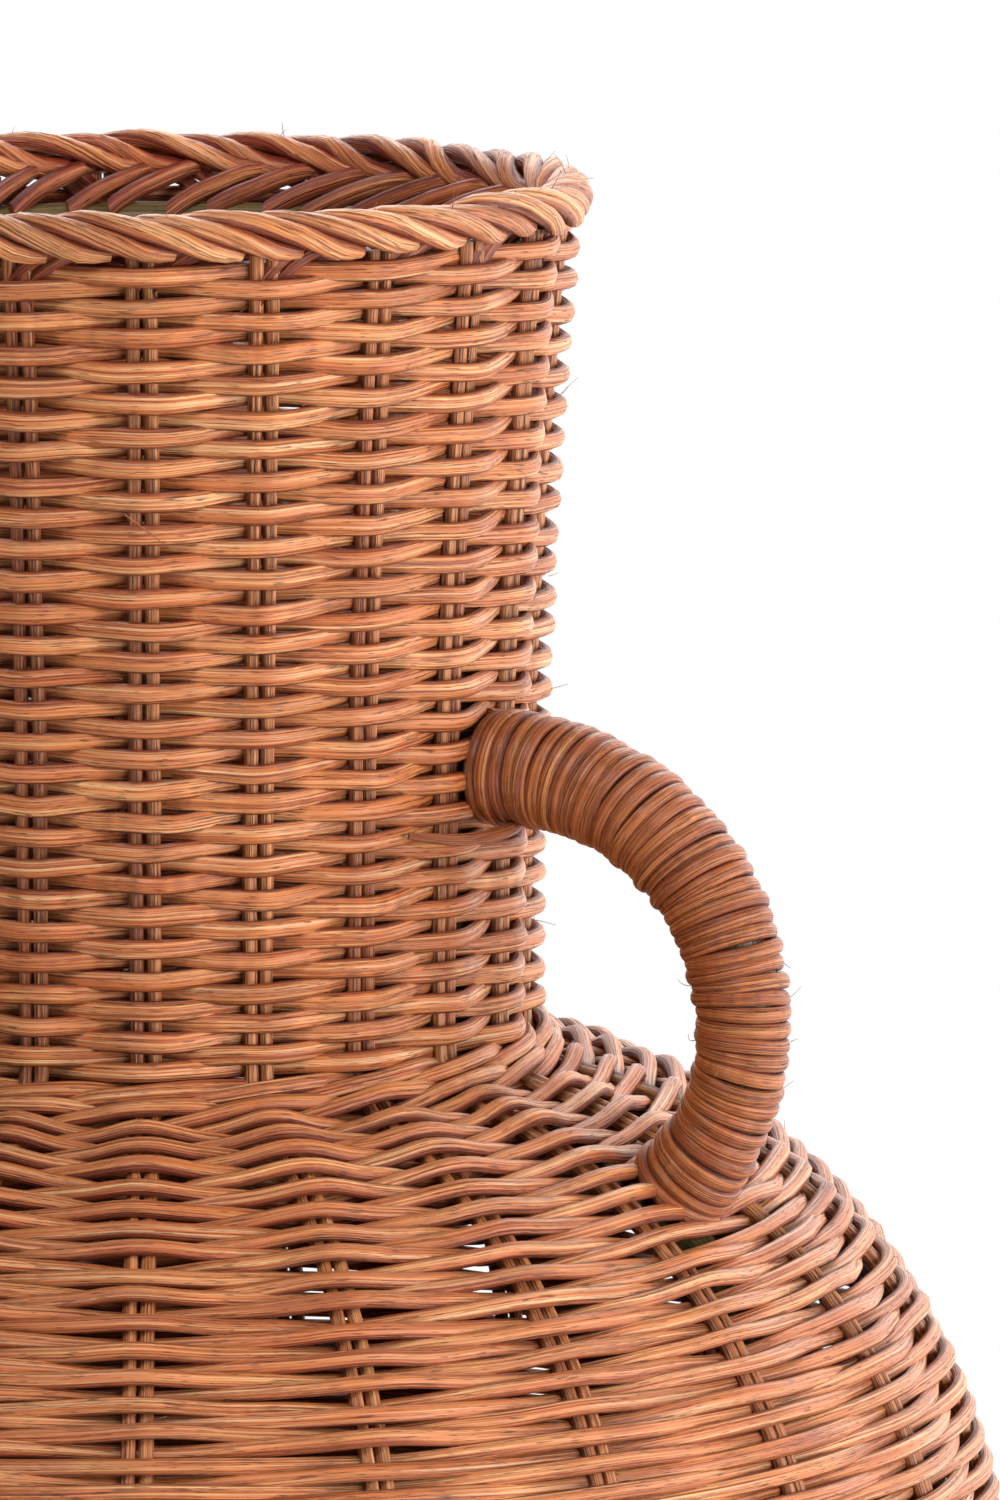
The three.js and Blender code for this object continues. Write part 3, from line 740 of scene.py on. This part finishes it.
body_rows = rows_like(0.0028, 0.00184, 0.8, 0.0022, 0.0002, 0.06, 0.0005, 0.55, 11)
loose_rows = rows_like(0.003, 0.00186, 0.85, 0.0025, 0.0002, 0.12, 0.0011, 0.75, 11)
arched_rows = rows_like(0.0034, 0.00186, 0.85, 0.003, 0.0, 0.13, 0.0012, 0.9, 11)
neck_rows = rows_like(0.00318, 0.00203, 0.78, 0.0027, 0.0003, 0.06, 0.0006, 1.0, 9)
wale_rows = rows_like(0.0052, 0.00184, 0.88, 0.0032, 0.0, 0.0, 0.0006, 1.0, 9)

belly_at = len(lower_arc)
shoulder_count = len(shoulder_arc)
shoulder_top_at = belly_at + shoulder_count
neck_split_height = 0.362
neck_heights = [z for r, z in wall_line[shoulder_top_at:]]
neck_split_at = shoulder_top_at + next(i for i, z in enumerate(neck_heights) if z > neck_split_height)
# Each course, the number of the wall line's point where it ends, and how it is woven.
course_plan = (
    ("weave_foot_course", belly_at // 2, body_rows),
    ("weave_belly_course", belly_at, body_rows),
    ("weave_upper_belly_course", belly_at + round(shoulder_count * 0.4), body_rows),
    ("weave_shoulder_course", belly_at + round(shoulder_count * 0.8), loose_rows),
    ("weave_neck_foot_course", shoulder_top_at + len(fillet_arc) // 2, arched_rows),
    ("weave_neck_lower_course", neck_split_at, neck_rows),
    ("weave_neck_upper_course", len(wall_line) - 1, neck_rows),
)
rows_under_rim = 0.8
gap_under_rim = 0.0012
weave_seam = 0.337
wale_rods = 3
wale_rounds = 2
wale_margin = 0.0012
wale_below = 0.0045
wale_above = wale_rounds * wale_rows["Row pitch"] - wale_below + wale_margin

course_start = 0.0
turns_made = weave_seam
for number, (node, last, made) in enumerate(course_plan):
    course_end = length_at(wall_line, last)
    next_start = course_end
    last_rows = 0.0
    if node == "weave_neck_foot_course":
        wale_start = course_end - wale_below
        next_start = course_end + wale_above
        course_end = wale_start - wale_margin
    if node == "weave_neck_upper_course":
        course_end -= gap_under_rim
        last_rows = rows_under_rim
    full_rows = round((course_end - course_start) / made["Row pitch"])
    run = {
        "First length": course_start,
        "Row pitch": (course_end - course_start) / full_rows,
        "First turn": turns_made,
        "Rows": full_rows + last_rows,
        "Seed": 31.0 + 13.0 * number,
    }
    weave(node.replace("weave_", "woven_"), wall_points, made | run, [node])
    turns_made += full_rows
    course_start = next_start

for rod in range(wale_rods):
    run = {
        "First length": wale_start,
        "First turn": weave_seam,
        "Rows": float(wale_rounds),
        "Phase": whole_turn * rod / wale_rods,
        "Stakes per wave": float(wale_rods),
        "Slant": 0.0018,
        "Seed": 140.0 + 7.0 * rod,
    }
    weave(f"woven_neck_wale_rod_{rod + 1}", wall_points, wale_rows | run)


# Rim hoop
# A thick unstained cane bent to a ring inside the mouth, just under the border.
# It keeps the neck round and the ends of the border rest on it.

# Its colours are darker than lit cane: painted shade for the hoop and ribs, which lie in the shade inside the
# wall.
natural_cane = cane_material(
    "natural cane",
    ("#372a13", "#5f4e2b", "#82704a", "#2d220f"),
    roughness=0.42, ridges=0.5, grooves=0.2, groove_width=3.0,
)
hoop_low, hoop_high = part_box("rim_hoop")
hoop_radius = (hoop_high.z - hoop_low.z) / 2
hoop_inset = 0.0016
hoop_line = hoop_high.x - hoop_radius - hoop_inset
hoop_level = (hoop_low.z + hoop_high.z) / 2
hoop_knots = 48
hoop_turns = [whole_turn * i / hoop_knots for i in range(hoop_knots)]
hoop_points = [ring_point(turn, hoop_line, hoop_level) for turn in hoop_turns]
hoop_sizes = {
    "Cane radius": hoop_radius, "Sample length": 0.005, "Wander": 0.0006, "Wander size": 0.06,
    "Sides": 14, "Seed": 41, "Material": natural_cane,
}
grow_canes("rim_hoop_cane", [hoop_points], hoop_sizes, ["rim_hoop"], closed=True)


# Rim border
# The tops of the stakes bent over to the right, up the inside and over the rim, then down the outside.
# A second set of ends comes through to the inside and is cut off over the hoop.

rim_low, rim_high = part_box("rim_border")
rim_lift = 0.0006
rim_level = (rim_low.z + rim_high.z) / 2 + rim_lift
rim_strand = 0.00215
rim_half_width = rim_high.x - rim_middle - rim_strand
rim_half_height = (rim_high.z - rim_low.z) / 2 + rim_lift - rim_strand


def rim_point(pairs_on, roll_degrees, thickness=1.0, outward=0.0):
    """A place on the roll of the border: how many pairs further on, and how far round its section."""
    roll = math.radians(roll_degrees)
    radius = rim_middle + (rim_half_width + outward) * math.cos(roll)
    level = rim_level + (rim_half_height + outward) * math.sin(roll)
    return ring_point(pairs_on * pair_turn, radius, level, thickness)


pair_share = pair_spacing / stake_line_top / pair_turn
# Up from the stake: pairs further on, level, thickness.
rising_route = ((0.0, 0.4335, 0.74), (0.03, 0.4375, 0.78))
# Over the rim: pairs further on, how much less for the second strand, degrees round, thickness, outward.
rolled_route = (
    (0.45, 0.2, 228.0, 0.85, -0.0006),
    (0.85, 0.275, 195.0, 1.0, 0.0),
    (1.2, 0.375, 150.0, 1.0, 0.0),
    (1.5, 0.5, 104.0, 1.0, 0.0),
    (1.75, 0.5, 68.0, 1.0, 0.0003),
    (2.02, 0.5, 36.0, 1.02, 0.0006),
    (2.3, 0.5, 4.0, 1.02, 0.0006),
    (2.55, 0.5, -28.0, 0.96, 0.0002),
    (2.76, 0.5, -54.0, 0.76, -0.001),
)
# Down the inside: pairs further on, radius, level, thickness.
inner_route = (
    (0.1, 0.0838, 0.4445, 0.9),
    (0.3, 0.0795, 0.4432, 0.95),
    (0.55, 0.0758, 0.4412, 1.0),
    (0.8, 0.0727, 0.4388, 1.0),
    (1.0, 0.0704, 0.4362, 1.0),
)
inner_lag = 0.42
outer_lines = []
inner_lines = []
for strand in range(2):
    side = (0.5 - strand) * pair_share
    knots = [ring_point((side + on) * pair_turn, stake_line_top, z, t) for on, z, t in rising_route]
    for on, less, degrees, thickness, outward in rolled_route:
        knots.append(rim_point(on - strand * less, degrees, thickness, outward))
    outer_lines.append(knots)
    late = strand * inner_lag
    inner_lines.append([ring_point((on + late) * pair_turn, r, z, t) for on, r, z, t in inner_route])
rim_sizes = round_the_vase | {
    "First turn": pair_turn / 2, "Cane radius": rim_strand, "Wander": 0.0006, "Wander size": 0.018,
    "Rolled": True, "Roll radius": rim_middle, "Roll level": rim_level, "Roll unevenness": 0.0014,
    "Sides": 10, "Map columns": 4, "Seed": 51, "Material": border_cane,
}
rim_lines = outer_lines + inner_lines
grow_canes("rim_border_plait", rim_lines, rim_sizes, ["rim_border"])


# Inner ribs
# An unstained cane down the inside of the wall behind each handle, from the neck to the belly.
# The pegs of the handle are driven against it, and it shows through the gaps of the shoulder.

handle_sides = {"right": 0.0, "left": pair_turn * math.ceil(stake_pairs / 2)}
rib_inset = 0.0064
rib_first = belly_at + round(shoulder_count * 0.2)
rib_step = 4
rib_points = []
for i in range(rib_first, neck_split_at, rib_step):
    before = wall_line[i - 1]
    after = wall_line[i + 1]
    length = math.dist(before, after)
    inward = ((before[1] - after[1]) / length, (after[0] - before[0]) / length)
    r, z = wall_line[i]
    rib_points.append((r + inward[0] * rib_inset, 0.0, z + inward[1] * rib_inset))


def grow_at_handles(name, points, sizes, node):
    """Grows one unstained cane along a line of points at each handle."""
    for side, turn in handle_sides.items():
        values = sizes | {"First turn": turn, "Sides": 12, "Material": natural_cane}
        grow_canes(f"{name}_{side}", [points], values, [f"{node}_{side}"])


rib_sizes = {
    "Cane radius": 0.0046, "Sample length": 0.005, "Wander": 0.0005, "Wander size": 0.06, "Seed": 61,
}
grow_at_handles("inner_rib", rib_points, rib_sizes, "handle_rib")


# Handle cores
# A thick unstained cane bent to a bow from the neck down to the shoulder, pegged through the weave.
# The winding hides it, apart from its ends.

handle_top = 0.335
handle_start = 0.0814
handle_lead = 0.005
bow_radius = 0.051
bow_reach = 0.0386
bow_start = handle_start + handle_lead
wall_out = 0.0046
foot_across = bow_start + bow_reach - shoulder_centre
foot_height = belly_height + math.sqrt((shoulder_radius + wall_out) ** 2 - foot_across**2)
bow_end = -math.acos(bow_reach / bow_radius)
bow_rise = (handle_top - foot_height) / (1 - math.sin(bow_end))
bow_steps = 28
handle_line = [(handle_start, 0.0, handle_top)]
for i in range(bow_steps + 1):
    turn = math.pi / 2 + (bow_end - math.pi / 2) * i / bow_steps
    x = bow_start + bow_radius * math.cos(turn)
    z = handle_top - bow_rise + bow_rise * math.sin(turn)
    handle_line.append((x, 0.0, z))


def into_wall(reach):
    """The handle's line, run on by a reach into the neck and into the shoulder."""
    first = Vector(handle_line[0])
    last = Vector(handle_line[-1])
    onward = (last - Vector(handle_line[-2])).normalized() * reach
    return [(first.x - reach, 0.0, first.z)] + handle_line + [tuple(last + onward)]


core_sizes = {"Cane radius": 0.0075, "Sample length": 0.004, "Seed": 71}
grow_at_handles("handle_core_cane", into_wall(0.006), core_sizes, "handle_core")


# Handle windings
# A fine stained strand wound tightly round each core from the neck to the shoulder.
# It starts thicker at the neck, where the first turns lie over its own tucked end.


def winding_tree():
    """One flat strand wound round a line, its turns a little uneven in place, height and lean."""
    inputs = {
        "Int": ("Loops", "Steps per loop", "Sides", "Loops per band"),
        "Float": (
            "Turn", "Winding radius", "Swelling", "Swelling share", "Foot swelling", "Foot share",
            "Strand radius", "Flatness", "Tilt", "Wander", "Lean", "Seed",
        ),
    }
    net, given, end = new_tree("wound strand", inputs)
    steps = given["Loops"] * given["Steps per loop"]
    line = counted_line(net, steps)
    index = net.node("GeometryNodeInputIndex")
    loops = index / given["Steps per loop"]
    share = index / steps
    seed = given["Seed"]
    angle = loops * whole_turn
    up = net.math("COSINE", angle)
    sideways = net.math("SINE", angle)
    apart = loops.uneven(speed=1.9, seed=seed) * given["Wander"]
    lean = loops.uneven(speed=0.3, seed=seed + 17.0) * given["Lean"]
    place = share + (apart + lean * sideways) / given["Loops"]
    sampled = {"Curves": given["Lines"], "Factor": place.kept_within(0.0, 1.0)}
    core = net.node("GeometryNodeSampleCurve", {"mode": "FACTOR"}, sampled, "Position")
    at_x, _, at_z = core.parts()
    heading_x, _, heading_z = core.out("Tangent").parts()
    swell = net.math("MAXIMUM", 1.0 - share / given["Swelling share"], 0.0)
    foot = net.math("MAXIMUM", (share - 1.0) / given["Foot share"] + 1.0, 0.0)
    lift = loops.uneven(speed=0.93, seed=seed + 60.0, share=0.4) * given["Strand radius"]
    reach = given["Winding radius"] + given["Swelling"] * swell + given["Foot swelling"] * foot + lift

    def turned(x, y, z):
        cosine = net.math("COSINE", given["Turn"])
        sine = net.math("SINE", given["Turn"])
        return net.vector(x * cosine - y * sine, x * sine + y * cosine, z)

    outward_x = 0.0 - heading_z * up
    outward_z = heading_x * up
    spot = turned(at_x + outward_x * reach, sideways * reach, at_z + outward_z * reach)
    line = line.moved(Position=spot)
    line = line.faced(turned(outward_x, sideways, outward_z))
    rocking = loops.uneven(speed=0.9, seed=seed + 44.0) * given["Tilt"]
    line = net.node("GeometryNodeSetCurveTilt", {}, {"Curve": line, "Tilt": rocking})
    spread = loops.uneven(speed=0.71, seed=seed + 33.0, share=0.5)
    thick = given["Strand radius"] * (1.0 + loops.uneven(speed=0.8, seed=seed + 5.0, share=0.18))
    run = loops / given["Loops per band"]
    bands = net.math("CEIL", given["Loops"] / given["Loops per band"])
    end_strand(net, given, end, line, 1.0, run, spread, thick, bands)
    return net.tree


windings = winding_tree()
winding_cane = cane_material(
    "stained winding cane",
    ("#6b290a", "#8f481d", "#af713d", "#2b1006"),
    roughness=0.5, ridges=1.1, grooves=0.5, groove_width=4.2,
)
winding_line = into_wall(0.0028)
for number, (side, turn) in enumerate(handle_sides.items()):
    winding_sizes = {
        "Turn": turn, "Loops": 43, "Steps per loop": 36, "Winding radius": 0.0083,
        "Swelling": 0.0024, "Swelling share": 0.75, "Foot swelling": 0.0016, "Foot share": 0.12,
        "Strand radius": 0.00174, "Flatness": 0.68, "Tilt": 0.35, "Wander": 0.13, "Lean": 0.42,
        "Sides": 14, "Loops per band": 3, "Seed": 83.0 + number, "Material": winding_cane,
    }
    name = f"handle_winding_strand_{side}"
    node = f"handle_winding_{side}"
    grow(name, [winding_line], windings, winding_sizes, [node])


# Tucked strand ends
# Where a winding starts, its end comes out below the handle and lies along the neck to the next stakes.
# It is tucked behind them, and tapers to the tip.

tuck_level = 0.3228
# Degrees on from the handle, radius, height over the level, thickness.
tuck_route = (
    (1.0, 0.0838, 0.003, 0.8),
    (-2.5, 0.0872, 0.0012, 0.95),
    (-7.0, 0.0868, 0.0002, 0.95),
    (-12.0, 0.0852, 0.0, 0.85),
    (-16.0, 0.0828, 0.0006, 0.7),
    (-19.5, 0.0805, 0.0014, 0.5),
)
tuck_lines = []
for turn in handle_sides.values():
    knots = []
    for degrees, radius, rise, thickness in tuck_route:
        knots.append(ring_point(turn + math.radians(degrees), radius, tuck_level + rise, thickness))
    tuck_lines.append(knots)
tuck_sizes = {
    "Cane radius": 0.0015, "Sample length": 0.002, "Sides": 10, "Seed": 87, "Material": winding_cane,
}
grow_canes("tucked_strand_ends", tuck_lines, tuck_sizes)


# Loose fibres
# Fine hairs and splinters that the peeled cane sheds along the rim, the weave and the handles.
# Each one is still rooted in the strand that it stands on.

dice = random.Random(12)
fibre_steps = 5
fibre_taper = 0.6
rim_fibres = 46
wall_fibres = 160
handle_fibres = 36
weave_out = 0.0034
weave_up = 0.001
winding_out = 0.0095


def random_direction():
    return Vector((dice.uniform(-1, 1), dice.uniform(-1, 1), dice.uniform(-1, 1)))


def fibre(root, heading, spread, curl, shortest, longest):
    """A hair that leaves its root near a heading, curls at random, and is thinner at the tip."""
    start = heading + random_direction() * spread
    bend = random_direction() * curl
    length = dice.uniform(shortest, longest)
    points = []
    for i in range(fibre_steps + 1):
        share = i / fibre_steps
        spot = root + (start * share + bend * share * share) * length
        points.append((*spot, 1.0 - fibre_taper * share))
    return points


fibre_lines = []
for _ in range(rim_fibres):
    turn = dice.uniform(0.0, whole_turn)
    root = Vector(rim_point(turn / pair_turn, dice.uniform(10.0, 110.0))[:3])
    heading = radial(turn, 0.2, 0.8)
    fibre_lines.append(fibre(root, heading, spread=0.6, curl=0.6, shortest=0.0026, longest=0.0048))
for _ in range(wall_fibres):
    turn = dice.uniform(0.0, whole_turn)
    r, z = wall_line[dice.randrange(belly_at, len(wall_line) - 1)]
    outward = radial(turn, 1.0, 0.0)
    sideways = Vector((-outward.y, outward.x, 0.0)) * dice.choice((-1.0, 1.0))
    root = radial(turn, r + weave_out, z + weave_up)
    heading = sideways * 0.9 + outward * 0.35
    fibre_lines.append(fibre(root, heading, spread=0.35, curl=0.5, shortest=0.002, longest=0.006))
for turn in handle_sides.values():
    spin = Matrix.Rotation(turn, 3, "Z")
    for _ in range(handle_fibres):
        x, _, z = handle_line[dice.randrange(3, len(handle_line) - 1)]
        away = radial(dice.uniform(0.0, whole_turn), 1.0, 0.0)
        root = Vector((x, 0.0, z)) + away * winding_out
        points = fibre(root, away * 0.7, spread=0.6, curl=0.6, shortest=0.0015, longest=0.0045)
        fibre_lines.append([(*(spin @ Vector(p[:3])), p[3]) for p in points])
splinter_root = radial(math.radians(-62.2), 0.0868, 0.3920)
splinter_tip = radial(math.radians(-55.8), 0.0878, 0.3848)
splinter_thickness = (1.6, 1.4, 1.2, 1.0, 0.8)
splinter_line = []
for i, thickness in enumerate(splinter_thickness):
    share = i / (len(splinter_thickness) - 1)
    splinter_line.append((*splinter_root.lerp(splinter_tip, share), thickness))
fibre_lines.append(splinter_line)
fibre_sizes = {
    "Cane radius": 0.0001, "Sample length": 0.001, "Sides": 4, "Map columns": 16,
    "Seed": 91, "Material": weaver_cane,
}
grow_canes("loose_fibres", fibre_lines, fibre_sizes)


# Floor, light and camera
# A pale floor that keeps the shadow, a white surround, and four broad soft lights, most from the right.
# The camera stands where the photographer did, a little above the rim.

camera_place = Vector((1.3444, -2.1990, 0.7079))
camera_turn = math.atan2(camera_place.y, camera_place.x)
white = (1.0, 1.0, 1.0, 1.0)

floor_mesh = bpy.data.meshes.new("floor")
floor_half = 1.6
floor_corners = [(x * floor_half, y * floor_half, 0.0) for x, y in ((-1, -1), (1, -1), (1, 1), (-1, 1))]
floor_mesh.from_pydata(floor_corners, [], [(0, 1, 2, 3)])
floor = new_object("floor", floor_mesh)
floor_paint, floor_net, floor_shader = new_material("pale floor")
floor_net.fill(floor_shader, {"Base Color": (0.86, 0.86, 0.86, 1.0), "Roughness": 0.9})
rays = floor_net.node("ShaderNodeLightPath", {}, {}, "Is Camera Ray")
glow = floor_net.node("ShaderNodeEmission", {}, {"Color": white, "Strength": 1.0})
spot = floor_net.node("ShaderNodeTexCoord", {}, {}, "Object")
away = floor_net.vectors("LENGTH", spot, output="Value")
white_share = rays * away.between(0.35, 1.1, start=0.6, finish=1.0)
shaded = Wire(floor_net.tree, floor_shader.outputs[0])
mixed_floor = floor_net.node("ShaderNodeMixShader", {}, {0: white_share, 1: shaded, 2: glow})
floor_net.fill(floor_net.tree.nodes["Material Output"], {"Surface": mixed_floor})
floor_mesh.materials.append(floor_paint)

# The camera sees plain white; the canes are lit by a dimmer surround with a bright backdrop behind them.
world = bpy.data.worlds.new("white surround")
world.use_nodes = True
bpy.context.scene.world = world
world_net = Wire(world.node_tree)
seen = world_net.node("ShaderNodeLightPath", {}, {}, "Is Camera Ray")
towards = world_net.node("ShaderNodeTexCoord", {}, {}, "Generated")
_, _, upward = towards.parts()
from_camera = radial(camera_turn, -1.0, 0.0)
behind = world_net.vectors("DOT_PRODUCT", towards, from_camera, output="Value")
backdrop = behind.between(0.1, 0.8)
ambient = upward.between(0.0, 0.7, start=0.46, finish=0.22) + backdrop * 1.5
mirrored = 0.08 + backdrop * 1.9
unseen = ambient + seen.out("Is Glossy Ray") * (mirrored - ambient)
strength = unseen + seen * (1.0 - unseen)
world_net.fill(world.node_tree.nodes["Background"], {"Color": white, "Strength": strength})

light_aim = Vector((0.0, 0.0, 0.26))
# Name, degrees round from the camera's side to its right, degrees up, distance, width, height, power.
for name, azimuth, elevation, distance, width, height, power in (
    ("window light", 61.0, 5.0, 1.9, 1.8, 1.3, 60.0),
    ("edge light", 112.0, 5.0, 2.0, 2.2, 1.6, 24.0),
    ("back light", 172.0, 42.0, 2.2, 1.6, 1.2, 27.0),
    ("fill light", -15.0, 46.0, 2.4, 1.6, 0.9, 39.0),
):
    lamp = bpy.data.lights.new(name, "AREA")
    lamp.shape = "RECTANGLE"
    lamp.size = width
    lamp.size_y = height
    lamp.energy = power
    holder = new_object(name, lamp)
    rise = math.radians(elevation)
    away = radial(camera_turn + math.radians(azimuth), math.cos(rise), math.sin(rise))
    holder.location = light_aim + away * distance
    holder.rotation_euler = (-away).to_track_quat("-Z", "Y").to_euler()

camera = bpy.data.cameras.new("camera")
camera.sensor_width = 36.0
camera.lens = 306.2
camera.clip_start = 0.1
camera.clip_end = 50.0
view = new_object("camera", camera)
view_turn = math.radians(119.870096)
view_drop = math.radians(8.287262)
ahead = radial(view_turn, math.cos(view_drop), -math.sin(view_drop))
view.location = camera_place
view.rotation_euler = ahead.to_track_quat("-Z", "Y").to_euler()
bpy.context.scene.camera = view
bpy.context.scene.view_settings.view_transform = "Standard"
